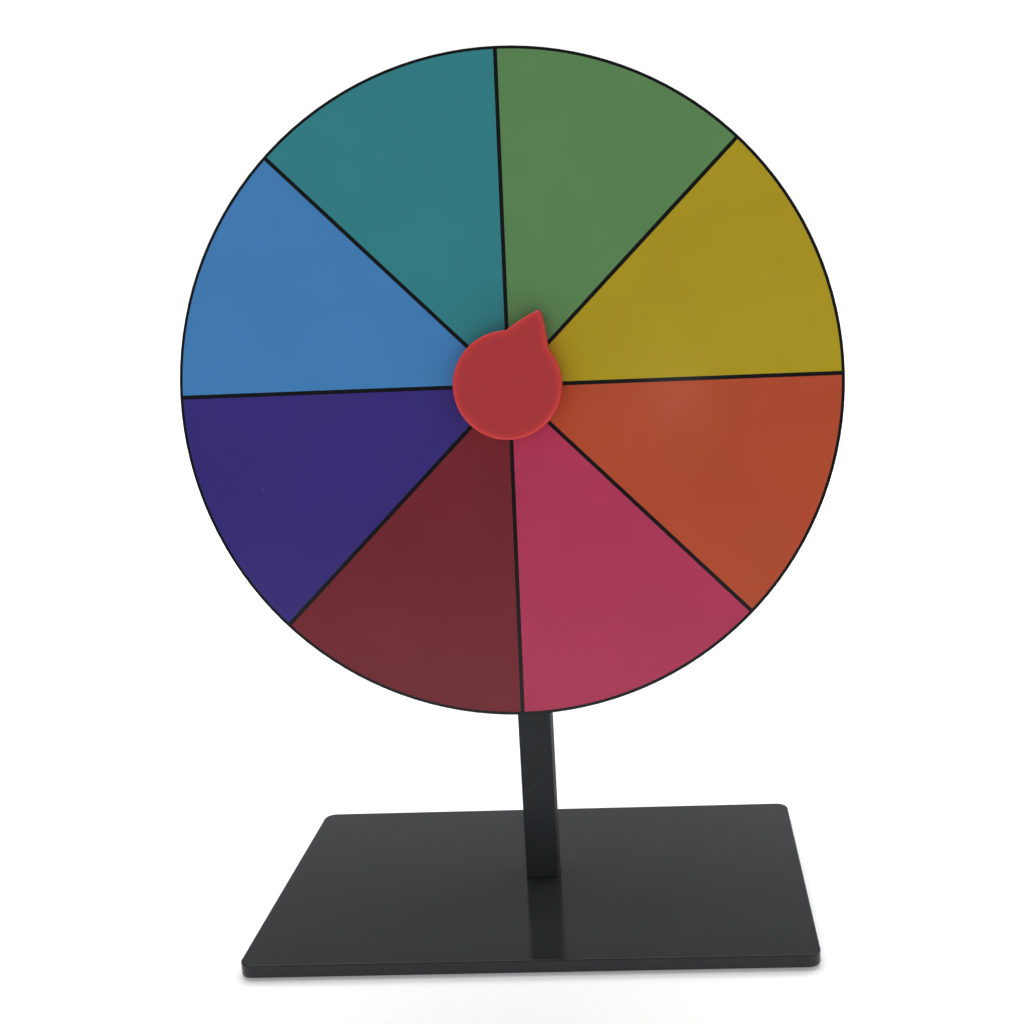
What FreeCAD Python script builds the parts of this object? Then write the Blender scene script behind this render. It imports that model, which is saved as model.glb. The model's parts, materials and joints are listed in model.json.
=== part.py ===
import FreeCAD, Part
import math
import os

from FreeCAD import Vector

# Tabletop game spinner: a round board of eight colour sectors stands on a square post and a
# flat base plate, and a drop-shaped pointer spins in front of it on a ball bearing. The board
# leans back a little on its hub, so that players who look down at it see it squarely.
#
# Frame: millimetres, +Z up, the board faces -Y, +X is to the right of somebody who looks at
# the board. The origin is the middle of the footprint, on the table under the foot pads.
# The board, hub, bearing and pointer are built upright, and then they lean back together
# about the middle of the board's face.

# ---- driving dimensions ----

BOARD_DIAMETER = 300.0
BOARD_THICKNESS = 5.0
BOARD_LEAN = 6.0
HUB_HEIGHT = 258.0
BASE_WIDTH = 260.0
BASE_DEPTH = 160.0
BASE_THICKNESS = 6.0
POST_WIDTH = 16.0
POST_WALL = 1.5
POST_FRONT_Y = -2.0
BOARD_FRONT_Y = -30.0
POINTER_DIAMETER = 48.6
POINTER_REACH = 37.0
POINTER_THICKNESS = 7.0
POINTER_ANGLE = 25.5
SECTOR_NAMES = ["green", "yellow", "orange", "pink", "maroon", "indigo", "blue", "teal"]

# ---- base plate, pads and foot ----

BASE_CORNER_RADIUS = 6.0
BASE_TOP_EDGE_RADIUS = 0.6
BASE_BOTTOM_EDGE_RADIUS = 0.4
PAD_DIAMETER = 18.0
PAD_THICKNESS = 1.5
PAD_INSET = 16.0
PAD_EDGE_RADIUS = 0.3
FOOT_BLOCK_WIDTH = 12.9
FOOT_BLOCK_HEIGHT = 18.0
BASE_SCREW_RADIUS = 4.0
BASE_SCREW_HEAD_RADIUS = 7.8
BASE_SCREW_RECESS = 0.2
BASE_SCREW_GRIP = 13.0
BASE_SCREW_TIP_CHAMFER = 0.6
BASE_SCREW_SOCKET = 5.0
BASE_SCREW_SOCKET_DEPTH = 2.5
COUNTERSINK_GAP = 0.05

# ---- post ----

POST_CORNER_RADIUS = 1.2
POST_INNER_RADIUS = 0.4
POST_ABOVE_HUB = 28.0
CAP_FLANGE = 1.5
CAP_EDGE_RADIUS = 0.75
CAP_PLUG_DEPTH = 10.0
CAP_PLUG_WIDTH = 12.9
POST_SCREW_RADIUS = 2.5
POST_SCREW_SPREAD = 14.0
POST_SCREW_DEPTH = 9.0

# ---- board ----

BOARD_HOLE_RADIUS = 7.0
BOARD_EDGE_RADIUS = 0.5
FILM_THICKNESS = 0.3
FILM_INNER_RADIUS = 8.0
RIM_WIDTH = 1.6
LINE_WIDTH = 1.8

# ---- hub housing behind the board ----

FLANGE_RADIUS = 36.0
FLANGE_THICKNESS = 4.0
FLANGE_EDGE_RADIUS = 0.5
FLANGE_SCREW_COUNT = 4
FLANGE_SCREW_CIRCLE = 28.0
FLANGE_SCREW_RADIUS = 1.75
FLANGE_SCREW_BITE = 3.4
FLANGE_SCREW_HEAD_RADIUS = 3.4
FLANGE_SCREW_HEAD = 2.4
FLANGE_SCREW_CROWN_RADIUS = 1.44
FLANGE_SCREW_SLOT_WIDTH = 0.9
FLANGE_SCREW_SLOT_LENGTH = 3.6
FLANGE_SCREW_SLOT_DEPTH = 1.3
BOSS_RADIUS = 19.0
BOSS_FILLET = 2.0
CAVITY_RADIUS = 8.5
CAVITY_DEPTH = 6.0

# ---- ball bearing, 8 x 22 x 7 ----

BEARING_BORE_RADIUS = 4.0
BEARING_OUTER_RADIUS = 11.0
BEARING_WIDTH = 7.0
OUTER_RACE_CHAMFER = 0.3
INNER_RACE_CHAMFER = 0.2
BALL_COUNT = 7
BALL_RADIUS = 1.984
PITCH_RADIUS = 7.5
GROOVE_RADIUS = 2.03
INNER_LAND_RADIUS = 6.05
OUTER_LAND_RADIUS = 9.0
SHIELD_SEAT_RADIUS = 9.6
SHIELD_SEAT_DEPTH = 0.7
SHIELD_INNER_RADIUS = 6.3
SHIELD_THICKNESS = 0.35
CAGE_INNER_RADIUS = 6.5
CAGE_OUTER_RADIUS = 8.5
CAGE_WIDTH = 5.0
CAGE_POCKET_RADIUS = 2.12

# ---- spindle and pointer ----

SPINDLE_SHOULDER_RADIUS = 5.5
SPINDLE_NOSE = 5.0
SPINDLE_END_CHAMFER = 0.3
SPINDLE_END_GAP = 0.2
SPINDLE_SCREW_RADIUS = 2.5
SPINDLE_SCREW_LENGTH = 10.0
SPINDLE_WASHER_RADIUS = 5.8
SPINDLE_WASHER = 1.0
POINTER_GAP = 1.5
POINTER_TIP_HALF_WIDTH = 10.2
POINTER_SIDE_BULGE = 0.4
POINTER_TIP_RADIUS = 1.2
POINTER_NECK_RADIUS = 2.0
POINTER_EDGE_RADIUS = 1.0

# ---- small hardware, shared ----

BUTTON_HEAD_RADIUS = 4.75
BUTTON_HEAD = 2.75
BUTTON_CROWN_RADIUS = 1.925
BUTTON_SOCKET = 3.0
BUTTON_SOCKET_DEPTH = 1.65
SCREW_TIP_CHAMFER = 0.4
SLIP_FIT = 0.02
THREAD_GAP = 0.05
BOLT_CLEARANCE = 0.25
HOLE_SPARE = 1.0
PILOT_SPARE = 0.2
CUT_MARGIN = 1.0

# ---- places worked out from the dimensions above ----

BASE_BOTTOM = PAD_THICKNESS
BASE_TOP = BASE_BOTTOM + BASE_THICKNESS
POST_CENTRE_Y = POST_FRONT_Y + POST_WIDTH / 2
POST_BACK_Y = POST_FRONT_Y + POST_WIDTH
POST_TOP = HUB_HEIGHT + POST_ABOVE_HUB
BOARD_BACK_Y = BOARD_FRONT_Y + BOARD_THICKNESS
FLANGE_BACK_Y = BOARD_BACK_Y + FLANGE_THICKNESS
BEARING_BACK_Y = BOARD_BACK_Y + BEARING_WIDTH
BEARING_MID_Y = BOARD_BACK_Y + BEARING_WIDTH / 2
POINTER_BACK_Y = BOARD_FRONT_Y - POINTER_GAP
POINTER_FRONT_Y = POINTER_BACK_Y - POINTER_THICKNESS
SECTOR_ANGLE = 360.0 / len(SECTOR_NAMES)
HUB_DROP = (POST_FRONT_Y - BOARD_FRONT_Y) * math.tan(math.radians(BOARD_LEAN))
POST_SCREW_OFFSETS = (-HUB_DROP - POST_SCREW_SPREAD, -HUB_DROP + POST_SCREW_SPREAD)
FORWARD = Vector(0, -1, 0)
BACKWARD = Vector(0, 1, 0)
UP = Vector(0, 0, 1)


def hub_point(y, x=0.0, z=0.0):
    """A point given by its offset from the hub's axis."""
    return Vector(x, y, HUB_HEIGHT + z)


def along_y(radius, y_low, y_high, x=0.0, z=0.0):
    """A cylinder that lies along Y between two planes, offset from the hub's axis."""
    return Part.makeCylinder(radius, y_high - y_low, hub_point(y_low, x, z), BACKWARD)


def ring_along_y(outer, inner, y_low, y_high):
    """A flat ring round the hub's axis."""
    hole = along_y(inner, y_low - CUT_MARGIN, y_high + CUT_MARGIN)
    return along_y(outer, y_low, y_high).cut(hole)


def leaned(shape):
    """The shape, leaned back with the board about the middle of the board's face."""
    turned = shape.copy()
    turned.rotate(hub_point(BOARD_FRONT_Y), Vector(1, 0, 0), -BOARD_LEAN)
    return turned


def box(width, depth, z_low, z_high, x=0.0, y=0.0):
    """An upright box centred on x, y."""
    corner = Vector(x - width / 2, y - depth / 2, z_low)
    return Part.makeBox(width, depth, z_high - z_low, corner)


def edges_where(shape, test):
    return [edge for edge in shape.Edges if test(edge)]


def is_upright(edge):
    """True for an edge that runs along Z."""
    span = edge.BoundBox
    return span.ZLength > 1.0 and span.XLength < 0.01 and span.YLength < 0.01


def in_plane_y(edge, y):
    span = edge.BoundBox
    return abs(span.YMin - y) < 0.01 and abs(span.YMax - y) < 0.01


def in_plane_z(edge, z):
    span = edge.BoundBox
    return abs(span.ZMin - z) < 0.01 and abs(span.ZMax - z) < 0.01


def is_circle_of(edge, radius):
    return hasattr(edge.Curve, "Radius") and abs(edge.Curve.Radius - radius) < 0.01


def rounded_box(width, depth, z_low, z_high, radius, y):
    """A box on the post's line with its four upright edges rounded."""
    body = box(width, depth, z_low, z_high, 0.0, y)
    return body.makeFillet(radius, edges_where(body, is_upright))


def hexagon_prism(across_flats, start, direction, depth):
    """A six-sided prism from a point along a direction: the socket in a screw's head."""
    circumradius = across_flats / math.sqrt(3)
    corners = []
    for index in range(7):
        angle = math.radians(60 * index)
        corners.append(Vector(circumradius * math.cos(angle), circumradius * math.sin(angle), 0))
    prism = Part.Face(Part.makePolygon(corners)).extrude(Vector(0, 0, depth))
    prism.Placement = FreeCAD.Placement(start, FreeCAD.Rotation(UP, direction))
    return prism


def button_screw(shank_radius, shank_length, seat_y, z_offset):
    """A button-head screw whose head stands behind seat_y and whose shank runs forward."""
    head = along_y(BUTTON_HEAD_RADIUS, seat_y, seat_y + BUTTON_HEAD, 0.0, z_offset)
    crown = edges_where(head, lambda edge: in_plane_y(edge, seat_y + BUTTON_HEAD))
    head = head.makeFillet(BUTTON_CROWN_RADIUS, crown)
    shank = along_y(shank_radius, seat_y - shank_length, seat_y, 0.0, z_offset)
    tip = edges_where(shank, lambda edge: in_plane_y(edge, seat_y - shank_length))
    shank = shank.makeChamfer(SCREW_TIP_CHAMFER, tip)
    socket_start = hub_point(seat_y + BUTTON_HEAD, 0.0, z_offset)
    socket = hexagon_prism(BUTTON_SOCKET, socket_start, FORWARD, BUTTON_SOCKET_DEPTH)
    return head.fuse(shank).cut(socket).removeSplitter()


# ---- stand ----

def base_plate():
    """Steel plate with rounded corners and a countersunk hole for the post's screw."""
    plate = rounded_box(BASE_WIDTH, BASE_DEPTH, BASE_BOTTOM, BASE_TOP, BASE_CORNER_RADIUS, 0.0)
    top = edges_where(plate, lambda edge: in_plane_z(edge, BASE_TOP))
    plate = plate.makeFillet(BASE_TOP_EDGE_RADIUS, top)
    bottom = edges_where(plate, lambda edge: in_plane_z(edge, BASE_BOTTOM))
    plate = plate.makeFillet(BASE_BOTTOM_EDGE_RADIUS, bottom)
    hole_radius = BASE_SCREW_RADIUS + BOLT_CLEARANCE
    hole = Part.makeCylinder(hole_radius, BASE_THICKNESS, Vector(0, POST_CENTRE_Y, BASE_BOTTOM))
    mouth_radius = BASE_SCREW_HEAD_RADIUS + BASE_SCREW_RECESS + COUNTERSINK_GAP
    depth = mouth_radius - hole_radius
    mouth = Vector(0, POST_CENTRE_Y, BASE_BOTTOM)
    countersink = Part.makeCone(mouth_radius, hole_radius, depth, mouth, UP)
    return plate.cut(hole).cut(countersink)


def pad_centres():
    """Centres of the four foot pads, from front left round to back left."""
    x = BASE_WIDTH / 2 - PAD_INSET
    y = BASE_DEPTH / 2 - PAD_INSET
    return [(-x, -y), (x, -y), (x, y), (-x, y)]


def foot_pad(x, y):
    """Round rubber pad stuck under a corner of the base plate."""
    pad = Part.makeCylinder(PAD_DIAMETER / 2, PAD_THICKNESS, Vector(x, y, 0))
    return pad.makeFillet(PAD_EDGE_RADIUS, edges_where(pad, lambda edge: in_plane_z(edge, 0.0)))


def post_tube():
    """Square steel tube, open at both ends, drilled through for the two hub screws."""
    inner_width = POST_WIDTH - 2 * POST_WALL
    outside = rounded_box(
        POST_WIDTH, POST_WIDTH, BASE_TOP, POST_TOP, POST_CORNER_RADIUS, POST_CENTRE_Y)
    inside = rounded_box(
        inner_width, inner_width, BASE_TOP - CUT_MARGIN, POST_TOP + CUT_MARGIN,
        POST_INNER_RADIUS, POST_CENTRE_Y)
    tube = outside.cut(inside)
    front = POST_FRONT_Y - CUT_MARGIN
    back = POST_BACK_Y + CUT_MARGIN
    for z_offset in POST_SCREW_OFFSETS:
        tube = tube.cut(along_y(POST_SCREW_RADIUS + BOLT_CLEARANCE, front, back, 0.0, z_offset))
    return tube


def post_cap():
    """Plastic plug that closes the post's top end."""
    flange_top = POST_TOP + CAP_FLANGE
    flange = rounded_box(
        POST_WIDTH, POST_WIDTH, POST_TOP, flange_top, POST_CORNER_RADIUS, POST_CENTRE_Y)
    rim = edges_where(flange, lambda edge: in_plane_z(edge, flange_top))
    flange = flange.makeFillet(CAP_EDGE_RADIUS, rim)
    plug_bottom = POST_TOP - CAP_PLUG_DEPTH
    plug = rounded_box(
        CAP_PLUG_WIDTH, CAP_PLUG_WIDTH, plug_bottom, POST_TOP, POST_INNER_RADIUS, POST_CENTRE_Y)
    return flange.fuse(plug).removeSplitter()


def post_foot_block():
    """Steel block fixed inside the post's lower end, with a blind tapped hole."""
    block_top = BASE_TOP + FOOT_BLOCK_HEIGHT
    block = rounded_box(
        FOOT_BLOCK_WIDTH, FOOT_BLOCK_WIDTH, BASE_TOP, block_top, POST_INNER_RADIUS, POST_CENTRE_Y)
    radius = BASE_SCREW_RADIUS + THREAD_GAP
    start = Vector(0, POST_CENTRE_Y, BASE_TOP)
    return block.cut(Part.makeCylinder(radius, BASE_SCREW_GRIP + HOLE_SPARE, start))


def base_screw():
    """Countersunk screw that holds the post from under the base plate."""
    head_bottom = BASE_BOTTOM + BASE_SCREW_RECESS
    head_height = BASE_SCREW_HEAD_RADIUS - BASE_SCREW_RADIUS
    start = Vector(0, POST_CENTRE_Y, head_bottom)
    head = Part.makeCone(BASE_SCREW_HEAD_RADIUS, BASE_SCREW_RADIUS, head_height, start, UP)
    shank_length = BASE_TOP + BASE_SCREW_GRIP - head_bottom
    shank = Part.makeCylinder(BASE_SCREW_RADIUS, shank_length, start)
    tip = edges_where(shank, lambda edge: in_plane_z(edge, head_bottom + shank_length))
    shank = shank.makeChamfer(BASE_SCREW_TIP_CHAMFER, tip)
    socket = hexagon_prism(BASE_SCREW_SOCKET, start, UP, BASE_SCREW_SOCKET_DEPTH)
    return head.fuse(shank).cut(socket).removeSplitter()


# ---- board ----

def flange_screw_offsets():
    """X and Z offsets of the four small screws that hold the board to the hub's flange."""
    offsets = []
    for index in range(FLANGE_SCREW_COUNT):
        angle = math.radians(360 * index / FLANGE_SCREW_COUNT + SECTOR_ANGLE / 2)
        x = FLANGE_SCREW_CIRCLE * math.cos(angle)
        z = FLANGE_SCREW_CIRCLE * math.sin(angle)
        offsets.append((x, z))
    return offsets


def disc_board():
    """Round black board with a clearance hole for the spindle and four blind pilot holes."""
    board = along_y(BOARD_DIAMETER / 2, BOARD_FRONT_Y, BOARD_BACK_Y)
    rims = edges_where(board, lambda edge: is_circle_of(edge, BOARD_DIAMETER / 2))
    board = board.makeFillet(BOARD_EDGE_RADIUS, rims)
    back = BOARD_BACK_Y + CUT_MARGIN
    board = board.cut(along_y(BOARD_HOLE_RADIUS, BOARD_FRONT_Y - CUT_MARGIN, back))
    pilot_end = BOARD_BACK_Y - FLANGE_SCREW_BITE - PILOT_SPARE
    for x, z in flange_screw_offsets():
        board = board.cut(along_y(FLANGE_SCREW_RADIUS + THREAD_GAP, pilot_end, back, x, z))
    return board


def board_point(radius, angle, sideways):
    """A point on the board's face. Its angle is clockwise from the top, and it is moved
    sideways from that radial line while it keeps its distance from the centre."""
    reach = math.sqrt(radius ** 2 - sideways ** 2)
    x = reach * math.sin(angle) + sideways * math.cos(angle)
    z = reach * math.cos(angle) - sideways * math.sin(angle)
    return hub_point(BOARD_FRONT_Y, x, z)


def sector_film(index):
    """One colour sector: a thin film between two black lines of constant width."""
    start = math.radians(SECTOR_ANGLE * index)
    end = math.radians(SECTOR_ANGLE * (index + 1))
    middle = (start + end) / 2
    half_line = LINE_WIDTH / 2
    outer = BOARD_DIAMETER / 2 - RIM_WIDTH
    inner = FILM_INNER_RADIUS
    inner_start = board_point(inner, start, half_line)
    outer_start = board_point(outer, start, half_line)
    outer_end = board_point(outer, end, -half_line)
    inner_end = board_point(inner, end, -half_line)
    edges = [
        Part.makeLine(inner_start, outer_start),
        Part.Arc(outer_start, board_point(outer, middle, 0.0), outer_end).toShape(),
        Part.makeLine(outer_end, inner_end),
        Part.Arc(inner_end, board_point(inner, middle, 0.0), inner_start).toShape(),
    ]
    return Part.Face(Part.Wire(edges)).extrude(FORWARD * FILM_THICKNESS)


# ---- hub ----

def upright_hub():
    """Flange and boss with the bearing's pocket, before they lean and meet the post."""
    flange = along_y(FLANGE_RADIUS, BOARD_BACK_Y, FLANGE_BACK_Y)
    boss = along_y(BOSS_RADIUS, BOARD_BACK_Y, POST_BACK_Y)
    hub = flange.fuse(boss).removeSplitter()
    corner = edges_where(
        hub, lambda edge: in_plane_y(edge, FLANGE_BACK_Y) and is_circle_of(edge, BOSS_RADIUS))
    hub = hub.makeFillet(BOSS_FILLET, corner)
    rim = edges_where(hub, lambda edge: is_circle_of(edge, FLANGE_RADIUS))
    hub = hub.makeFillet(FLANGE_EDGE_RADIUS, rim)
    front = BOARD_BACK_Y - CUT_MARGIN
    hub = hub.cut(along_y(BEARING_OUTER_RADIUS + SLIP_FIT, front, BEARING_BACK_Y))
    hub = hub.cut(along_y(CAVITY_RADIUS, front, BEARING_BACK_Y + CAVITY_DEPTH))
    for x, z in flange_screw_offsets():
        radius = FLANGE_SCREW_RADIUS + BOLT_CLEARANCE
        hub = hub.cut(along_y(radius, front, FLANGE_BACK_Y + CUT_MARGIN, x, z))
    return hub


def hub_housing():
    """Turned flange and boss: it carries the board, holds the bearing and meets the post.
    The boss is cut at an angle, so that the board leans back from the upright post."""
    width = 2 * FLANGE_RADIUS
    corner = hub_point(POST_FRONT_Y, -FLANGE_RADIUS, -FLANGE_RADIUS)
    hub = leaned(upright_hub()).cut(Part.makeBox(width, width, width, corner))
    bottom = POST_FRONT_Y - POST_SCREW_DEPTH - HOLE_SPARE
    mouth = POST_FRONT_Y + CUT_MARGIN
    for z_offset in POST_SCREW_OFFSETS:
        hub = hub.cut(along_y(POST_SCREW_RADIUS + THREAD_GAP, bottom, mouth, 0.0, z_offset))
    return hub


def post_screw(z_offset):
    """Button-head screw from behind, through the post into the hub."""
    shank_length = POST_WIDTH + POST_SCREW_DEPTH
    return button_screw(POST_SCREW_RADIUS, shank_length, POST_BACK_Y, z_offset)


def flange_screw(x, z):
    """Pan-head screw from the flange's back into the board."""
    head_top = FLANGE_BACK_Y + FLANGE_SCREW_HEAD
    head = along_y(FLANGE_SCREW_HEAD_RADIUS, FLANGE_BACK_Y, head_top, x, z)
    crown = edges_where(head, lambda edge: in_plane_y(edge, head_top))
    head = head.makeFillet(FLANGE_SCREW_CROWN_RADIUS, crown)
    shank = along_y(FLANGE_SCREW_RADIUS, BOARD_BACK_Y - FLANGE_SCREW_BITE, FLANGE_BACK_Y, x, z)
    screw = head.fuse(shank).removeSplitter()
    width = FLANGE_SCREW_SLOT_WIDTH
    length = FLANGE_SCREW_SLOT_LENGTH
    depth = FLANGE_SCREW_SLOT_DEPTH
    for across, up in ((length, width), (width, length)):
        corner = hub_point(head_top - depth, x - across / 2, z - up / 2)
        screw = screw.cut(Part.makeBox(across, depth + CUT_MARGIN, up, corner))
    return screw


# ---- ball bearing ----

def race_groove():
    """The ring that the balls run in, cut from both races."""
    return Part.makeTorus(PITCH_RADIUS, GROOVE_RADIUS, hub_point(BEARING_MID_Y), BACKWARD)


def bearing_outer_race():
    """Outer race, with a seat for a shield at each side."""
    race = ring_along_y(BEARING_OUTER_RADIUS, OUTER_LAND_RADIUS, BOARD_BACK_Y, BEARING_BACK_Y)
    outer_rims = edges_where(race, lambda edge: is_circle_of(edge, BEARING_OUTER_RADIUS))
    race = race.makeChamfer(OUTER_RACE_CHAMFER, outer_rims)
    race = race.cut(race_groove())
    front_seat = BOARD_BACK_Y + SHIELD_SEAT_DEPTH
    back_seat = BEARING_BACK_Y - SHIELD_SEAT_DEPTH
    race = race.cut(along_y(SHIELD_SEAT_RADIUS, BOARD_BACK_Y - CUT_MARGIN, front_seat))
    return race.cut(along_y(SHIELD_SEAT_RADIUS, back_seat, BEARING_BACK_Y + CUT_MARGIN))


def bearing_inner_race():
    """Inner race, pressed on the spindle."""
    race = ring_along_y(INNER_LAND_RADIUS, BEARING_BORE_RADIUS, BOARD_BACK_Y, BEARING_BACK_Y)
    bore_rims = edges_where(race, lambda edge: is_circle_of(edge, BEARING_BORE_RADIUS))
    return race.makeChamfer(INNER_RACE_CHAMFER, bore_rims).cut(race_groove())


def bearing_shield(y_low):
    """Thin steel shield that closes one side of the bearing."""
    outer = SHIELD_SEAT_RADIUS - SLIP_FIT
    return ring_along_y(outer, SHIELD_INNER_RADIUS, y_low, y_low + SHIELD_THICKNESS)


def ball_centres():
    centres = []
    for index in range(BALL_COUNT):
        angle = 2 * math.pi * index / BALL_COUNT
        x = PITCH_RADIUS * math.sin(angle)
        z = PITCH_RADIUS * math.cos(angle)
        centres.append(hub_point(BEARING_MID_Y, x, z))
    return centres


def bearing_cage():
    """Ring with a round pocket, drilled from the axis outwards, for each ball."""
    y_low = BEARING_MID_Y - CAGE_WIDTH / 2
    cage = ring_along_y(CAGE_OUTER_RADIUS, CAGE_INNER_RADIUS, y_low, y_low + CAGE_WIDTH)
    axis_point = hub_point(BEARING_MID_Y)
    for centre in ball_centres():
        outward = centre - axis_point
        pocket = Part.makeCylinder(CAGE_POCKET_RADIUS, 2 * PITCH_RADIUS, axis_point, outward)
        cage = cage.cut(pocket)
    return cage


# ---- spindle and pointer ----

def spindle():
    """Turned pin: nose for the pointer, shoulder in front of the bearing, journal inside it."""
    radius = BEARING_BORE_RADIUS - SLIP_FIT
    back = BEARING_BACK_Y - SPINDLE_END_GAP
    nose_tip = POINTER_BACK_Y - SPINDLE_NOSE
    pin = along_y(radius, nose_tip, back)
    ends = edges_where(pin, lambda edge: is_circle_of(edge, radius))
    pin = pin.makeChamfer(SPINDLE_END_CHAMFER, ends)
    shoulder = along_y(SPINDLE_SHOULDER_RADIUS, POINTER_BACK_Y, BOARD_BACK_Y)
    screw_end = BEARING_BACK_Y + SPINDLE_WASHER - SPINDLE_SCREW_LENGTH
    radius = SPINDLE_SCREW_RADIUS + THREAD_GAP
    thread = along_y(radius, screw_end - HOLE_SPARE, back + CUT_MARGIN)
    return pin.fuse(shoulder).cut(thread).removeSplitter()


def spindle_washer():
    """Washer that clamps the inner race against the spindle's shoulder."""
    bore = SPINDLE_SCREW_RADIUS + BOLT_CLEARANCE
    back = BEARING_BACK_Y + SPINDLE_WASHER
    return ring_along_y(SPINDLE_WASHER_RADIUS, bore, BEARING_BACK_Y, back)


def spindle_screw():
    """Button-head screw in the spindle's back end."""
    seat = BEARING_BACK_Y + SPINDLE_WASHER
    return button_screw(SPINDLE_SCREW_RADIUS, SPINDLE_SCREW_LENGTH, seat, 0.0)


def pointer_outline():
    """Circle with a short triangular tip that points straight up."""
    radius = POINTER_DIAMETER / 2
    half = POINTER_TIP_HALF_WIDTH
    neck = math.sqrt(radius ** 2 - half ** 2)
    side_x = half / 2
    side_z = (neck + POINTER_REACH) / 2
    side_length = math.hypot(half, POINTER_REACH - neck)
    bulge_x = POINTER_SIDE_BULGE * (POINTER_REACH - neck) / side_length
    bulge_z = POINTER_SIDE_BULGE * half / side_length
    left = hub_point(POINTER_BACK_Y, -half, neck)
    right = hub_point(POINTER_BACK_Y, half, neck)
    tip = hub_point(POINTER_BACK_Y, 0.0, POINTER_REACH)
    left_middle = hub_point(POINTER_BACK_Y, -side_x - bulge_x, side_z + bulge_z)
    right_middle = hub_point(POINTER_BACK_Y, side_x + bulge_x, side_z + bulge_z)
    bottom = hub_point(POINTER_BACK_Y, 0.0, -radius)
    edges = [
        Part.Arc(left, left_middle, tip).toShape(),
        Part.Arc(tip, right_middle, right).toShape(),
        Part.Arc(right, bottom, left).toShape(),
    ]
    return Part.Wire(edges)


def is_along_y(edge):
    """True for an edge that runs from front to back."""
    span = edge.BoundBox
    return span.YLength > 1.0 and span.XLength < 0.01 and span.ZLength < 0.01


def is_neck(edge):
    """True for the edge at each side where the tip grows out of the round body."""
    span = edge.BoundBox
    return abs(abs(span.XMin) - POINTER_TIP_HALF_WIDTH) < 0.5 and span.ZMin > HUB_HEIGHT


def pointer():
    """Drop-shaped pointer, closed in front, with a blind bore for the spindle's nose."""
    body = Part.Face(pointer_outline()).extrude(FORWARD * POINTER_THICKNESS)
    corners = edges_where(body, is_along_y)
    tip_bottom = HUB_HEIGHT + POINTER_DIAMETER / 2
    tip = [edge for edge in corners if edge.BoundBox.ZMin > tip_bottom]
    body = body.makeFillet(POINTER_TIP_RADIUS, tip)
    corners = edges_where(body, is_along_y)
    necks = [edge for edge in corners if is_neck(edge)]
    body = body.makeFillet(POINTER_NECK_RADIUS, necks)
    front = edges_where(body, lambda edge: in_plane_y(edge, POINTER_FRONT_Y))
    body = body.makeFillet(POINTER_EDGE_RADIUS, front)
    bore_end = POINTER_BACK_Y - SPINDLE_NOSE - SPINDLE_END_GAP
    body = body.cut(along_y(BEARING_BORE_RADIUS, bore_end, POINTER_BACK_Y + CUT_MARGIN))
    body.rotate(hub_point(0.0), BACKWARD, POINTER_ANGLE)
    return body


# ---- all parts, one file each ----

def stand_parts():
    """The upright parts: plate, pads, post and its screws."""
    parts = {
        "base_plate": base_plate(),
        "post_tube": post_tube(),
        "post_cap": post_cap(),
        "post_foot_block": post_foot_block(),
        "base_screw": base_screw(),
        "hub_housing": hub_housing(),
        "post_screw_lower": post_screw(POST_SCREW_OFFSETS[0]),
        "post_screw_upper": post_screw(POST_SCREW_OFFSETS[1]),
    }
    for number, (x, y) in enumerate(pad_centres(), start=1):
        parts[f"foot_pad_{number}"] = foot_pad(x, y)
    return parts


def board_parts():
    """The parts that lean back with the board, still upright."""
    front_shield_y = BOARD_BACK_Y + SHIELD_SEAT_DEPTH - SHIELD_THICKNESS
    parts = {
        "disc_board": disc_board(),
        "bearing_outer_race": bearing_outer_race(),
        "bearing_inner_race": bearing_inner_race(),
        "bearing_shield_front": bearing_shield(front_shield_y),
        "bearing_shield_back": bearing_shield(BEARING_BACK_Y - SHIELD_SEAT_DEPTH),
        "bearing_cage": bearing_cage(),
        "spindle": spindle(),
        "spindle_washer": spindle_washer(),
        "spindle_screw": spindle_screw(),
        "pointer": pointer(),
    }
    for number, (x, z) in enumerate(flange_screw_offsets(), start=1):
        parts[f"flange_screw_{number}"] = flange_screw(x, z)
    for number, centre in enumerate(ball_centres(), start=1):
        parts[f"bearing_ball_{number}"] = Part.makeSphere(BALL_RADIUS, centre)
    for index, name in enumerate(SECTOR_NAMES):
        parts[f"sector_{name}"] = sector_film(index)
    return parts


def all_parts():
    """Every node and its solid, in place."""
    parts = stand_parts()
    for node, shape in board_parts().items():
        parts[node] = leaned(shape)
    return parts


os.makedirs("parts", exist_ok=True)
for node, shape in all_parts().items():
    solids = len(shape.Solids)
    print(f"{node}: {solids} solid, valid {shape.isValid()}, {shape.Volume:.1f} mm3")
    shape.exportStep(f"parts/{node}.step")
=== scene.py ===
import json
import math

import bmesh
import bpy
from mathutils import Matrix, Vector


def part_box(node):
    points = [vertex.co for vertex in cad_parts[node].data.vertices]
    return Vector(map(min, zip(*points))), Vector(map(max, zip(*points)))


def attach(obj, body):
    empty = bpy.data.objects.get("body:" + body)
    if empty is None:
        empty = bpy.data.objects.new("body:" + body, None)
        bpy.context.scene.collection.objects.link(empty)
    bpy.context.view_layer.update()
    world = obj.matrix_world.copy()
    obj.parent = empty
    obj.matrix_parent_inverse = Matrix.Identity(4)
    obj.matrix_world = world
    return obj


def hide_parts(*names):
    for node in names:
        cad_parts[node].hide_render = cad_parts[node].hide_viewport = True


# A tabletop game spinner: eight gloss colour films on a round black board, a red drop-shaped
# pointer in front of it, and a black powder-coated post and base plate. Metres, +Z up, the
# board faces -Y and leans back a little.

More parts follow.
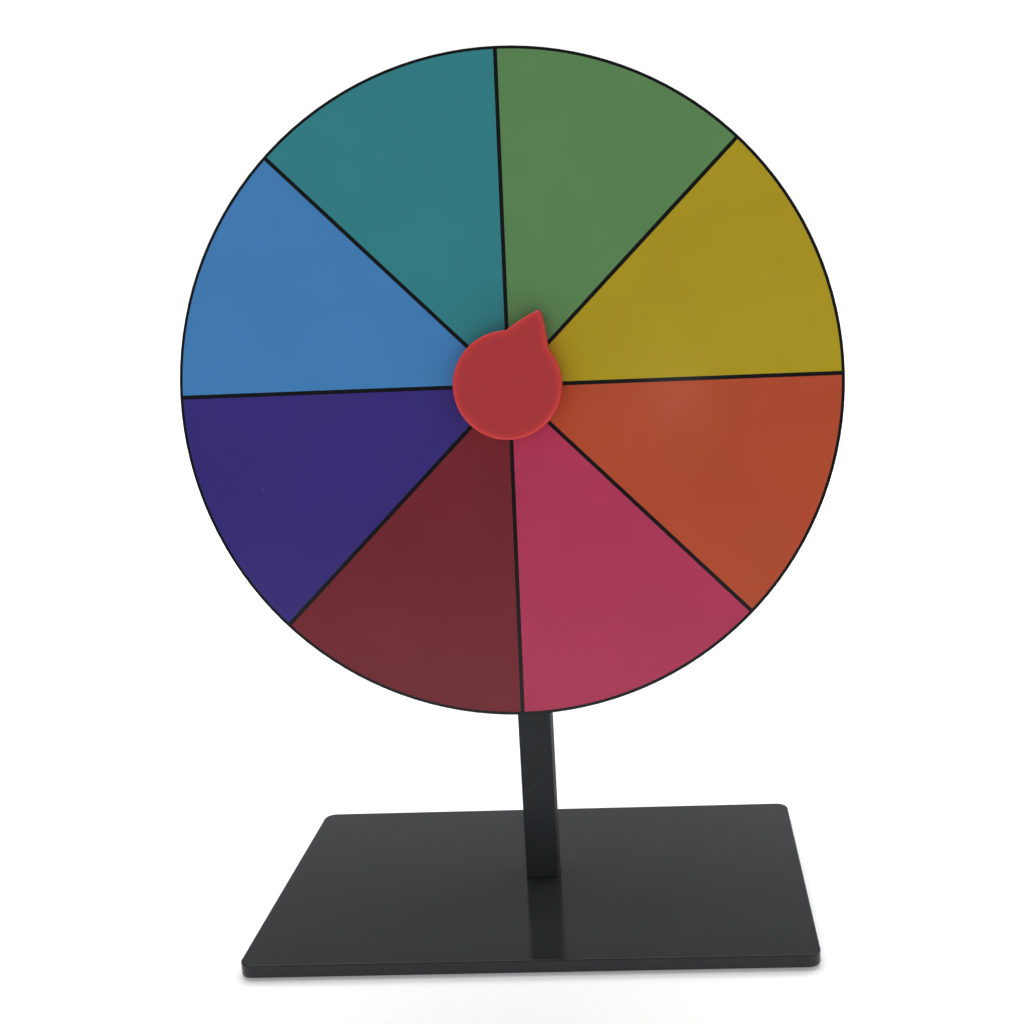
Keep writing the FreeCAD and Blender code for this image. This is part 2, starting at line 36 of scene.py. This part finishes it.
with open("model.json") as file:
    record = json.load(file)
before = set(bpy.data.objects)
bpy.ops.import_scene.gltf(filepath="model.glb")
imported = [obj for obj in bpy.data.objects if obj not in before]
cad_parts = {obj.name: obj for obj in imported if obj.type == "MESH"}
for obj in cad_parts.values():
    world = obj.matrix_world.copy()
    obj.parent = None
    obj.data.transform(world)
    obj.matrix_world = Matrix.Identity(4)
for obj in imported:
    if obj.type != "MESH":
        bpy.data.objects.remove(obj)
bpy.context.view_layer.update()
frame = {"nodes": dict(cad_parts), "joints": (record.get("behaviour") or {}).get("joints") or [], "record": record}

MM = 0.001
NODES = frame["nodes"]
PLATE_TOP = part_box("base_plate")[1].z
POINTER_JOINT = frame["joints"][0]

# A point on the pointer's axis, the axis itself, and the turn that leans +Y back to it.
HUB = Vector(POINTER_JOINT["pos_m"])
HUB_AXIS = Vector(POINTER_JOINT["axis"]).normalized()
LEAN = Vector((0, 1, 0)).rotation_difference(HUB_AXIS)


def rgb(red, green, blue):
    return (red, green, blue, 1.0)


def shade(colour, factor):
    """The same colour, lighter or darker."""
    return rgb(*(min(1.0, part * factor) for part in colour[:3]))


WHITE = rgb(1, 1, 1)


# ---- shader nodes ----

# A noise node's values crowd round 0.5. These are the limits between which they are spread
# over a pattern's whole range: the closer together, the clearer the pattern.
CLEAR = (0.3, 0.7)
SOFT = (0.2, 0.8)

# A speck fades in from its edge to its core, both measured in cells. A cell holds a speck
# where its random draw is below the share, and a full one below this much of the share.
SPECK_EDGE = 0.12
SPECK_CORE = 0.04
SPECK_FULL = 0.9

# The height over which the post's finish, with its painted lighter colour, takes over from the plate's.
PLATE_TO_POST = 1 * MM

# The sideways part of a surface's normal, from where its finish as a side starts to where
# it is complete.
SIDEWAYS_START = 0.5
SIDEWAYS_FULL = 0.9


class Shading:
    """Adds shader nodes to a node tree."""

    def __init__(self, tree):
        self.tree = tree

    def connect(self, value, socket):
        """Gives an input a value, or links another node's output to it."""
        if isinstance(value, bpy.types.NodeSocket):
            self.tree.links.new(value, socket)
        else:
            socket.default_value = value

    def node(self, kind, settings=None, inputs=None):
        """Adds a node. An input takes a value, or another node's output."""
        made = self.tree.nodes.new(kind)
        for key, value in (settings or {}).items():
            setattr(made, key, value)
        for key, value in (inputs or {}).items():
            self.connect(value, made.inputs[key])
        return made

    def parts(self, vector):
        """A vector's X, Y and Z."""
        return self.node("ShaderNodeSeparateXYZ", inputs={"Vector": vector}).outputs

    def maths(self, operation, first, second=0.0):
        return self.node("ShaderNodeMath", {"operation": operation},
                         {0: first, 1: second}).outputs[0]

    def spread(self, value, low, high, to_low=0.0, to_high=1.0):
        """Maps a value from one range to another, smoothly and without leaving it."""
        return self.node("ShaderNodeMapRange", {"interpolation_type": "SMOOTHSTEP"}, {
            "Value": value, "From Min": low, "From Max": high, "To Min": to_low,
            "To Max": to_high}).outputs[0]


class Finish(Shading):
    """A procedural material whose patterns lie in the piece's own space, in metres."""

    def __init__(self, name):
        self.material = bpy.data.materials.new(name)
        self.material.use_nodes = True
        super().__init__(self.material.node_tree)
        self.shader = self.tree.nodes["Principled BSDF"]
        coordinates = self.node("ShaderNodeTexCoord").outputs
        self.place = coordinates["Object"]
        self.normal = coordinates["Normal"]
        self.relief = None

    def stretched(self, scales):
        """The piece's own space, scaled along each axis."""
        return self.node("ShaderNodeVectorMath", {"operation": "MULTIPLY"},
                         {0: self.place, 1: scales}).outputs[0]

    def noise(self, size, detail=2.0, rough=0.5, space=None):
        """Cloudy pattern from 0 to 1 whose patches are about as large as size."""
        return self.node("ShaderNodeTexNoise", inputs={
            "Vector": space or self.place, "Scale": 1 / size, "Detail": detail,
            "Roughness": rough}).outputs["Fac"]

    def cloud(self, size, detail=2.0, rough=0.5, limits=CLEAR, low=0.0, high=1.0):
        """Cloudy pattern that fills the range from low to high."""
        return self.spread(self.noise(size, detail, rough), *limits, low, high)

    def specks(self, size, share):
        """Sparse round specks: 1 in a speck and 0 between them."""
        cells = self.node("ShaderNodeTexVoronoi",
                          inputs={"Vector": self.place, "Scale": 1 / size}).outputs
        draw = self.node("ShaderNodeSeparateColor", inputs={"Color": cells["Color"]}).outputs[0]
        chosen = self.spread(draw, share, share * SPECK_FULL)
        round_spot = self.spread(cells["Distance"], SPECK_EDGE, SPECK_CORE)
        return self.maths("MULTIPLY", chosen, round_spot)

    def rings(self, spacing):
        """Fine turned rings round the hub's axis."""
        arm = self.node("ShaderNodeVectorMath", {"operation": "SUBTRACT"},
                        {0: self.place, 1: HUB})
        lever = self.node("ShaderNodeVectorMath", {"operation": "CROSS_PRODUCT"},
                          {0: arm.outputs[0], 1: HUB_AXIS})
        radius = self.node("ShaderNodeVectorMath", {"operation": "LENGTH"},
                           {0: lever.outputs[0]}).outputs["Value"]
        along_radius = self.node("ShaderNodeCombineXYZ", inputs={"X": radius}).outputs[0]
        return self.noise(spacing, detail=3.0, rough=0.6, space=along_radius)

    def above_plate(self):
        """1 above the base plate's top, and 0 on the plate."""
        height = self.parts(self.place)["Z"]
        return self.spread(height, PLATE_TOP, PLATE_TOP + PLATE_TO_POST)

    def facing_sideways(self):
        """1 on the surfaces that face left or right, and 0 elsewhere."""
        sideways = self.maths("ABSOLUTE", self.parts(self.normal)["X"])
        return self.spread(sideways, SIDEWAYS_START, SIDEWAYS_FULL)

    def blend(self, share, first, second):
        """Mixes two colours."""
        return self.node("ShaderNodeMix", {"data_type": "RGBA"},
                         {0: share, 6: first, 7: second}).outputs[2]

    def faint(self, pattern, strength):
        """A pattern from 0 to strength."""
        return self.maths("MULTIPLY", pattern, strength)

    def set(self, name, value):
        """Sets one of the shader's inputs."""
        self.connect(value, self.shader.inputs[name])

    def colour(self, value):
        self.set("Base Color", value)

    def bump(self, height, depth):
        """Adds relief of a real depth in metres. Several layers add up."""
        made = self.node("ShaderNodeBump",
                         inputs={"Strength": 1.0, "Distance": depth, "Height": height})
        if self.relief is not None:
            self.connect(self.relief, made.inputs["Normal"])
        self.relief = made.outputs[0]
        self.set("Normal", self.relief)


# ---- materials ----

# The pointer's mesh says with this name how near each point is to the rim, and so how much painted rim glow its
# colour gets.
RIM_GLOW_LAYER = "rim"


def uneven(finish, colour, size, darkest, lightest):
    """A colour with cloudy lighter and darker patches."""
    return finish.blend(finish.cloud(size, detail=3.0), shade(colour, darkest),
                        shade(colour, lightest))


def dusty(finish, colour, dust):
    """A colour with broad, faint unevenness and a few dust specks."""
    body = uneven(finish, colour, 40 * MM, 0.97, 1.03)
    specks = finish.specks(6 * MM, share=0.05)
    return finish.blend(finish.faint(specks, 0.12), body, dust)


def powder_coat(name):
    """Smooth black powder coat with a faint orange peel. The post is duller than the plate, and its two sides are
    duller still. The post's colour is painted lighter than the plate's, as painted light for the shade it stands
    in under the board."""
    plate_black = rgb(0.0218, 0.0222, 0.0250)
    # Painted light: the post's black is lighter than the plate's to make up for the board's shade on it.
    post_painted_lighter_black = rgb(0.047, 0.048, 0.055)
    patch_black = rgb(0.024, 0.024, 0.026)
    plate_gloss = 0.26
    post_dullness, side_dullness = 0.15, 0.3
    post_gloss_loss, side_gloss_loss = 0.17, 0.07

    finish = Finish(name)
    post = finish.above_plate()
    side = finish.maths("MULTIPLY", post, finish.facing_sideways())
    patches = finish.cloud(30 * MM, detail=3.0, limits=(0.4, 0.9), high=0.5)
    finish.colour(finish.blend(patches, finish.blend(post, plate_black, post_painted_lighter_black),
                               patch_black))
    smear = finish.cloud(28 * MM, detail=4.0, rough=0.6, limits=(0.25, 0.75),
                         low=0.09, high=0.14)
    dullness = finish.maths("ADD", finish.faint(post, post_dullness),
                            finish.faint(side, side_dullness))
    finish.set("Roughness", finish.maths("ADD", smear, dullness))
    gloss_loss = finish.maths("ADD", finish.faint(post, post_gloss_loss),
                              finish.faint(side, side_gloss_loss))
    finish.set("Specular IOR Level", finish.maths("SUBTRACT", plate_gloss, gloss_loss))
    finish.bump(finish.noise(1.6 * MM, detail=1.0), depth=0.003 * MM)
    finish.bump(finish.noise(0.25 * MM), depth=0.0008 * MM)
    return finish.material


def film(name, colour):
    """Gloss printed vinyl, laid on the board with slight waves."""
    finish = Finish(name)
    base = dusty(finish, colour, dust=rgb(0.5, 0.5, 0.5))
    grain = finish.cloud(0.5 * MM)
    finish.colour(finish.blend(finish.faint(grain, 0.08), base, shade(colour, 0.85)))
    finish.set("Roughness", finish.cloud(22 * MM, detail=4.0, rough=0.6, low=0.1, high=0.17))
    finish.set("Specular IOR Level", 0.25)
    finish.bump(finish.noise(30 * MM, detail=1.0), depth=0.05 * MM)
    finish.bump(finish.noise(0.8 * MM, detail=1.0), depth=0.0008 * MM)
    return finish.material


def gloss_black(name):
    """Black acrylic sheet with level hairline scratches."""
    level_scale, upright_scale = 90, 2600
    finish = Finish(name)
    finish.colour(dusty(finish, rgb(0.006, 0.0065, 0.008), dust=rgb(0.2, 0.2, 0.2)))
    streaked = finish.stretched((level_scale, level_scale, upright_scale))
    lines = finish.noise(1.0, space=streaked)
    smear = finish.cloud(18 * MM, detail=4.0, rough=0.6, low=0.08, high=0.16)
    scratches = finish.spread(lines, 0.68, 0.74, to_high=0.15)
    finish.set("Roughness", finish.maths("ADD", smear, scratches))
    finish.set("Specular IOR Level", 0.3)
    finish.bump(finish.noise(25 * MM, detail=1.0), depth=0.02 * MM)
    return finish.material


def pointer_red(name):
    """Cast red acrylic. Its colour is painted lighter towards its rounded rim, a painted edge glow standing in for
    the light that leaves the edge.
    """
    face_red = rgb(0.545, 0.049, 0.055)
    # Painted light: this lighter red laid along the rim is a painted edge glow.
    painted_rim_glow_red = rgb(0.76, 0.062, 0.060)
    finish = Finish(name)
    rim = finish.node("ShaderNodeAttribute", {"attribute_name": RIM_GLOW_LAYER}).outputs["Fac"]
    body = finish.blend(finish.cloud(20 * MM, detail=1.0, limits=SOFT), shade(face_red, 0.98),
                        shade(face_red, 1.02))
    # The rim share blends the painted rim glow into the face's red.
    finish.colour(finish.blend(rim, body, painted_rim_glow_red))
    finish.set("Roughness", finish.cloud(15 * MM, detail=1.0, limits=SOFT, low=0.3, high=0.34))
    finish.set("Specular IOR Level", 0.3)
    finish.set("Subsurface Weight", 0.25)
    finish.set("Subsurface Radius", (1.0, 0.12, 0.1))
    finish.set("Subsurface Scale", 2.5 * MM)
    finish.bump(finish.noise(0.6 * MM, detail=1.0), depth=0.0006 * MM)
    return finish.material


def moulded(name, colour, grain, depth, roughness):
    """Moulded rubber or plastic with a fine grain."""
    variation = 0.06
    finish = Finish(name)
    finish.colour(uneven(finish, colour, 8 * MM, 0.9, 1.1))
    finish.set("Roughness", finish.cloud(3 * MM, detail=3.0, low=roughness - variation,
                                         high=roughness + variation))
    finish.bump(finish.noise(grain), depth)
    return finish.material


def turned_metal(name, colour, roughness, spacing, depth, metallic=1.0):
    """Metal turned on a lathe about the hub's axis."""
    variation = 0.07
    finish = Finish(name)
    rings = finish.rings(spacing)
    body = uneven(finish, colour, 6 * MM, 0.92, 1.06)
    finish.colour(finish.blend(finish.spread(rings, 0.35, 0.65, to_high=0.5), body,
                               shade(colour, 0.75)))
    finish.set("Metallic", metallic)
    finish.set("Roughness", finish.spread(rings, *CLEAR, roughness - variation,
                                          roughness + variation))
    finish.bump(rings, depth)
    return finish.material


def plated_metal(name, colour, roughness):
    """Plated or blackened screws: mottled plating over tumbled steel."""
    variation = 0.08
    finish = Finish(name)
    finish.colour(uneven(finish, colour, 1.2 * MM, 0.85, 1.1))
    finish.set("Metallic", 0.9)
    finish.set("Roughness", finish.cloud(0.8 * MM, detail=3.0, low=roughness - variation,
                                         high=roughness + variation))
    finish.bump(finish.noise(0.2 * MM), depth=0.002 * MM)
    return finish.material


FILM_COLOURS = {
    "green": rgb(0.143, 0.320, 0.122),
    "yellow": rgb(0.555, 0.412, 0.021),
    "orange": rgb(0.590, 0.097, 0.040),
    "pink": rgb(0.560, 0.053, 0.130),
    "maroon": rgb(0.222, 0.027, 0.039),
    "indigo": rgb(0.053, 0.035, 0.252),
    "blue": rgb(0.074, 0.280, 0.640),
    "teal": rgb(0.045, 0.290, 0.325),
}


def slot_materials():
    """One material for each of the record's slots."""
    made = {
        "powder_coat_black": powder_coat("powder_coat_black"),
        "pad_rubber": moulded("pad_rubber", rgb(0.02, 0.02, 0.02), grain=0.5 * MM,
                              depth=0.03 * MM, roughness=0.75),
        "cap_plastic": moulded("cap_plastic", rgb(0.02, 0.02, 0.022), grain=0.3 * MM,
                               depth=0.01 * MM, roughness=0.45),
        "foot_steel": turned_metal("foot_steel", rgb(0.42, 0.42, 0.43), roughness=0.4,
                                   spacing=0.3 * MM, depth=0.003 * MM),
        "screw_zinc": plated_metal("screw_zinc", rgb(0.55, 0.56, 0.6), roughness=0.34),
        "screw_black": plated_metal("screw_black", rgb(0.035, 0.035, 0.04), roughness=0.36),
        "hub_anodised": turned_metal("hub_anodised", rgb(0.03, 0.03, 0.034), roughness=0.38,
                                     spacing=0.35 * MM, depth=0.004 * MM, metallic=0.55),
        "board_black": gloss_black("board_black"),
        "bearing_steel": turned_metal("bearing_steel", rgb(0.62, 0.62, 0.63), roughness=0.14,
                                      spacing=0.2 * MM, depth=0.0005 * MM),
        "shield_steel": turned_metal("shield_steel", rgb(0.5, 0.5, 0.51), roughness=0.32,
                                     spacing=0.25 * MM, depth=0.002 * MM),
        "cage_nylon": moulded("cage_nylon", rgb(0.35, 0.28, 0.12), grain=0.25 * MM,
                              depth=0.006 * MM, roughness=0.5),
        "spindle_steel": turned_metal("spindle_steel", rgb(0.5, 0.5, 0.52), roughness=0.28,
                                      spacing=0.2 * MM, depth=0.002 * MM),
        "pointer_red": pointer_red("pointer_red"),
    }
    for name, colour in FILM_COLOURS.items():
        made[f"film_{name}"] = film(f"film_{name}", colour)
    return made


def dress_cad_nodes(materials):
    """Gives every CAD node the material of its slot."""
    for part in frame["record"]["subparts"]:
        mesh = NODES[part["node"]].data
        mesh.materials.clear()
        mesh.materials.append(materials[part["material_slot"]])


# ---- pointer ----

POINTER_RADIUS = 24.3 * MM
POINTER_REACH = 37.0 * MM
POINTER_TIP_HALF_WIDTH = 10.2 * MM
POINTER_SIDE_BULGE = 0.4 * MM
POINTER_TIP_RADIUS = 1.3 * MM
POINTER_NECK_RADIUS = 1.9 * MM
POINTER_ANGLE = math.radians(25.5)
POINTER_RIM_RADIUS = 1.3 * MM
POINTER_RIM_WIDTH = 3.4 * MM
POINTER_BACK_EDGE = 0.4 * MM
POINTER_BORE_RADIUS = 4.0 * MM
POINTER_BORE_DEPTH = 5.2 * MM
OUTLINE_STEP = 0.45 * MM

# Rings of the pointer's mesh. One on the bore's floor and one on the back are shares of the
# way out from the axis. The rounded rim has RIM_RINGS, and each ring on the flat face lies so
# many rim radii in from the outline.
BORE_FLOOR_RING = 0.5
BACK_RING = 0.6
# The back ring's share of the painted rim glow.
BACK_RING_RIM_SHARE = 0.3
RIM_RINGS = 12
FACE_RING_INSETS = (1.12, 1.3, 1.6, 2.2, 3.2, 5.0, 7.5)

# Where the surface turns by more than this, its shading has an edge.
CRISP_ANGLE = math.radians(35)


def arc(centre, radius, start, end):
    """Points along an arc, without its last one."""
    count = max(2, round(abs(end - start) * radius / OUTLINE_STEP))
    points = []
    for index in range(count):
        angle = start + (end - start) * index / count
        points.append(centre + radius * Vector((math.cos(angle), math.sin(angle))))
    return points


def bulged_line(start, end, outward):
    """Points along a shallow curve, without its last one."""
    count = round((end - start).length / OUTLINE_STEP)
    points = []
    for index in range(count):
        share = index / count
        rise = 4 * POINTER_SIDE_BULGE * share * (1 - share)
        points.append(start.lerp(end, share) + outward * rise)
    return points


def half_outline():
    """The right half of the drop, from its lowest point up to its tip, which points up."""
    neck_height = math.sqrt(POINTER_RADIUS ** 2 - POINTER_TIP_HALF_WIDTH ** 2)
    root = Vector((POINTER_TIP_HALF_WIDTH, neck_height))
    side = (Vector((0, POINTER_REACH)) - root).normalized()
    outward = Vector((side.y, -side.x))
    start = root + outward * POINTER_NECK_RADIUS
    neck_distance = POINTER_RADIUS + POINTER_NECK_RADIUS
    along = start.dot(side)
    slide = -along + math.sqrt(along ** 2 - start.length_squared + neck_distance ** 2)
    neck = start + side * slide
    tip = Vector((0, POINTER_REACH - POINTER_TIP_RADIUS / outward.y))
    neck_angle = math.atan2(neck.y, neck.x)
    outward_angle = math.atan2(outward.y, outward.x)
    side_start = neck - outward * POINTER_NECK_RADIUS
    side_end = tip + outward * POINTER_TIP_RADIUS
    points = arc(Vector((0, 0)), POINTER_RADIUS, -math.pi / 2, neck_angle)
    points += arc(neck, POINTER_NECK_RADIUS, neck_angle + math.pi, outward_angle + math.pi)
    points += bulged_line(side_start, side_end, outward)
    points += arc(tip, POINTER_TIP_RADIUS, outward_angle, math.pi / 2)
    points.append(tip + Vector((0, POINTER_TIP_RADIUS)))
    return points


def pointer_outline():
    """The drop's closed outline round the hub's axis."""
    right = half_outline()
    left = [Vector((-point.x, point.y)) for point in reversed(right[1:-1])]
    return right + left


def distance_to_outline(point, outline):
    """The shortest way from a point to the outline's straight pieces."""
    nearest = math.inf
    for start, end in zip(outline, outline[1:] + outline[:1]):
        span = end - start
        share = (point - start).dot(span) / span.length_squared
        share = min(1.0, max(0.0, share))
        nearest = min(nearest, (point - start - span * share).length)
    return nearest


def rim_drop(distance):
    """How far the rounded rim lies behind the flat face, at a distance from the outline."""
    inside = POINTER_RIM_RADIUS - min(distance, POINTER_RIM_RADIUS)
    return POINTER_RIM_RADIUS - math.sqrt(POINTER_RIM_RADIUS ** 2 - inside ** 2)


def pointer_loops(outline, front, back):
    """Rings of points from the bore's floor, round the back and side, to the face's middle. Each ring is a list of
    (point on the face's plane, depth along the axis, rim share), and the rim share sets how much painted rim glow
    a point gets."""
    bore = [point.normalized() * POINTER_BORE_RADIUS for point in outline]
    floor = back - POINTER_BORE_DEPTH
    edge = POINTER_BACK_EDGE
    rim_start = front + POINTER_RIM_RADIUS
    loops = [
        [(point * BORE_FLOOR_RING, floor, 0.0) for point in bore],
        [(point, floor, 0.0) for point in bore],
        [(point, back - edge, 0.0) for point in bore],
        [(point * (1 + edge / POINTER_BORE_RADIUS), back, 0.0) for point in bore],
        [(point * BACK_RING, back, BACK_RING_RIM_SHARE) for point in outline],
        [(point * (1 - edge / POINTER_RADIUS), back, 1.0) for point in outline],
        [(point, back - edge, 1.0) for point in outline],
        [(point, (rim_start + back) / 2, 1.0) for point in outline],
        [(point, rim_start, 1.0) for point in outline],
    ]
    insets = [POINTER_RIM_RADIUS * (1 - math.cos(math.pi / 2 * step / RIM_RINGS))
              for step in range(1, RIM_RINGS + 1)]
    insets += [POINTER_RIM_RADIUS * inset for inset in FACE_RING_INSETS]
    for inset in insets:
        loop = []
        for point in outline:
            place = point * (1 - inset / POINTER_RADIUS)
            distance = distance_to_outline(place, outline)
            share = max(0.0, 1 - distance / POINTER_RIM_WIDTH)
            loop.append((place, front + rim_drop(distance), share))
        loops.append(loop)
    return loops


def lofted(name, loops, first, last, place):
    """A closed mesh through rings of equal length, ending in a point at each side. Its places
    and rim shares come from (point, depth, rim share)."""
    shape = bmesh.new()
    rim = shape.verts.layers.float.new(RIM_GLOW_LAYER)

    def add(entry):
        made = shape.verts.new(place(entry[0], entry[1]))
        made[rim] = entry[2]
        return made

    rings = [[add(entry) for entry in loop] for loop in loops]
    start, end = add(first), add(last)
    for lower, upper in zip(rings, rings[1:]):
        for index in range(len(lower)):
            after = (index + 1) % len(lower)
            shape.faces.new((lower[index], lower[after], upper[after], upper[index]))
    for index in range(len(rings[0])):
        after = (index + 1) % len(rings[0])
        shape.faces.new((start, rings[0][after], rings[0][index]))
        shape.faces.new((end, rings[-1][index], rings[-1][after]))
    bmesh.ops.recalc_face_normals(shape, faces=shape.faces)
    mesh = bpy.data.meshes.new(name)
    shape.to_mesh(mesh)
    shape.free()
    return mesh


def add_pointer(material):
    """The pointer with its soft rim, in place of the plain CAD one."""
    depths = [(vertex.co - HUB).dot(HUB_AXIS) for vertex in NODES["pointer"].data.vertices]
    front, back = min(depths), max(depths)
    turn = Matrix.Rotation(-POINTER_ANGLE, 2)

    def place(point, depth):
        turned = turn @ point
        return HUB + LEAN @ Vector((turned.x, depth, turned.y))

    outline = pointer_outline()
    loops = pointer_loops(outline, front, back)
    middle = Vector((0, 0))
    floor = (middle, back - POINTER_BORE_DEPTH, 0.0)
    mesh = lofted("pointer_drop", loops, floor, (middle, front, 0.0), place)
    mesh.shade_smooth()
    mesh.materials.append(material)
    piece = bpy.data.objects.new("pointer_drop", mesh)
    bpy.context.scene.collection.objects.link(piece)
    crisp = piece.modifiers.new("crisp_edges", "EDGE_SPLIT")
    crisp.split_angle = CRISP_ANGLE
    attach(piece, "pointer_spindle")
    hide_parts("pointer")


# ---- stage ----

FLOOR_REACH = 12.0

# The floor's own glow, near the spinner and far behind it, and where it starts and stops
# growing.
FLOOR_GLOW = 0.23
FLOOR_FAR_GLOW = 1.2
FLOOR_GLOW_START = 0.15
FLOOR_GLOW_END = 1.0

# The world's light, by the direction it comes from: X is the right, Y behind, Z up. A pair
# is where a change starts and ends, and the other values are strengths.
HAZE_FADE = (0.25, 0.36)
HAZE_GLOW = 0.65
WALL_FADE = (0.36, 0.62)
WALL_LOW_GLOW = 0.24
WALL_HIGH_GLOW = 0.06
WALL_RIGHT_RISE = (-0.1, 0.3)
WALL_RIGHT_GAIN = 1.9
BEHIND_RISE = (0.0, 0.5)
ROOM_LOW_GLOW = 0.22
ROOM_HIGH_GLOW = 0.2


def floor_material():
    """Pale paper that glows a little, and far behind the spinner glows into the haze."""
    finish = Finish("floor_paper")
    behind = finish.parts(finish.place)["Y"]
    fibres = finish.cloud(3 * MM)
    finish.colour(finish.blend(fibres, rgb(0.90, 0.90, 0.90), rgb(0.92, 0.92, 0.92)))
    finish.set("Roughness", finish.spread(fibres, 0, 1, 0.85, 0.95))
    finish.set("Specular IOR Level", 0.1)
    finish.set("Emission Color", WHITE)
    finish.set("Emission Strength", finish.spread(behind, FLOOR_GLOW_START, FLOOR_GLOW_END,
                                                  FLOOR_GLOW, FLOOR_FAR_GLOW))
    return finish.material


def add_floor():
    """A large flat floor under the foot pads."""
    reach = FLOOR_REACH
    mesh = bpy.data.meshes.new("floor")
    corners = [(-reach, -reach, 0), (reach, -reach, 0), (reach, reach, 0), (-reach, reach, 0)]
    mesh.from_pydata(corners, [], [(0, 1, 2, 3)])
    mesh.materials.append(floor_material())
    floor = bpy.data.objects.new("floor", mesh)
    bpy.context.scene.collection.objects.link(floor)


def add_surroundings():
    """White haze low behind the spinner, a grey wall above it, and a dim room all round."""
    world = bpy.data.worlds.new("studio")
    world.use_nodes = True
    sky = Shading(world.node_tree)
    direction = sky.parts(sky.node("ShaderNodeTexCoord").outputs["Generated"])
    haze = sky.spread(direction["Z"], *HAZE_FADE, HAZE_GLOW, 0.0)
    wall = sky.spread(direction["Z"], *WALL_FADE, WALL_LOW_GLOW, WALL_HIGH_GLOW)
    brighter_right = sky.spread(direction["X"], *WALL_RIGHT_RISE, 1.0, WALL_RIGHT_GAIN)
    behind = sky.spread(direction["Y"], *BEHIND_RISE)
    room = sky.spread(direction["Z"], 0, 1, ROOM_LOW_GLOW, ROOM_HIGH_GLOW)
    glow = sky.maths("ADD", haze, sky.maths("MULTIPLY", wall, brighter_right))
    level = sky.maths("MULTIPLY", glow, behind)
    background = sky.tree.nodes["Background"]
    sky.connect(sky.maths("ADD", level, room), background.inputs["Strength"])
    sky.connect(WHITE, background.inputs["Color"])
    bpy.context.scene.world = world


def add_softbox(name, place, target, width, height, power):
    """A rectangular light that faces its target. The camera doesn't see it."""
    light = bpy.data.lights.new(name, "AREA")
    light.shape = "RECTANGLE"
    light.size = width
    light.size_y = height
    light.energy = power
    lamp = bpy.data.objects.new(name, light)
    lamp.location = place
    lamp.rotation_mode = "QUATERNION"
    lamp.rotation_quaternion = (Vector(target) - Vector(place)).to_track_quat("-Z", "Y")
    lamp.visible_camera = False
    bpy.context.scene.collection.objects.link(lamp)


def add_lights():
    """Three large softboxes, and a small weak one that the board reflects as a window."""
    add_softbox("softbox_above", place=(0.0, 0.45, 1.5), target=(0.0, 0.2, 0.0),
                width=2.0, height=1.4, power=27)
    add_softbox("softbox_left", place=(-1.3, -1.5, 1.3), target=HUB,
                width=1.2, height=1.2, power=5)
    add_softbox("softbox_right", place=(1.5, -1.2, 0.9), target=HUB,
                width=1.0, height=1.0, power=2.8)
    add_softbox("window", place=(0.083, -1.025, 0.345), target=HUB,
                width=0.07, height=0.08, power=0.02)


# ---- camera ----

# Lens and sensor are in millimetres, and the shift is in sensor widths.
CAMERA_PLACE = (68.9 * MM, -610.3 * MM, 313.5 * MM)
CAMERA_HEADING = math.radians(2.37)
CAMERA_PITCH = math.radians(-9.49)
CAMERA_ROLL = math.radians(-2.39)
CAMERA_LENS = 45.73
CAMERA_SENSOR = 36.0
CAMERA_SHIFT = (-0.0984, -0.0379)
CAMERA_NEAREST = 0.01
CAMERA_FARTHEST = 50.0


def add_camera():
    camera = bpy.data.cameras.new("camera")
    camera.lens = CAMERA_LENS
    camera.sensor_width = CAMERA_SENSOR
    camera.shift_x, camera.shift_y = CAMERA_SHIFT
    camera.clip_start = CAMERA_NEAREST
    camera.clip_end = CAMERA_FARTHEST
    holder = bpy.data.objects.new("camera", camera)
    heading = Matrix.Rotation(CAMERA_HEADING, 4, "Z")
    pitch = Matrix.Rotation(math.pi / 2 + CAMERA_PITCH, 4, "X")
    roll = Matrix.Rotation(CAMERA_ROLL, 4, "Z")
    holder.matrix_world = Matrix.Translation(CAMERA_PLACE) @ heading @ pitch @ roll
    bpy.context.scene.collection.objects.link(holder)
    bpy.context.scene.camera = holder


materials = slot_materials()
dress_cad_nodes(materials)
add_pointer(materials["pointer_red"])
add_floor()
add_surroundings()
add_lights()
add_camera()
bpy.context.scene.view_settings.view_transform = "Standard"
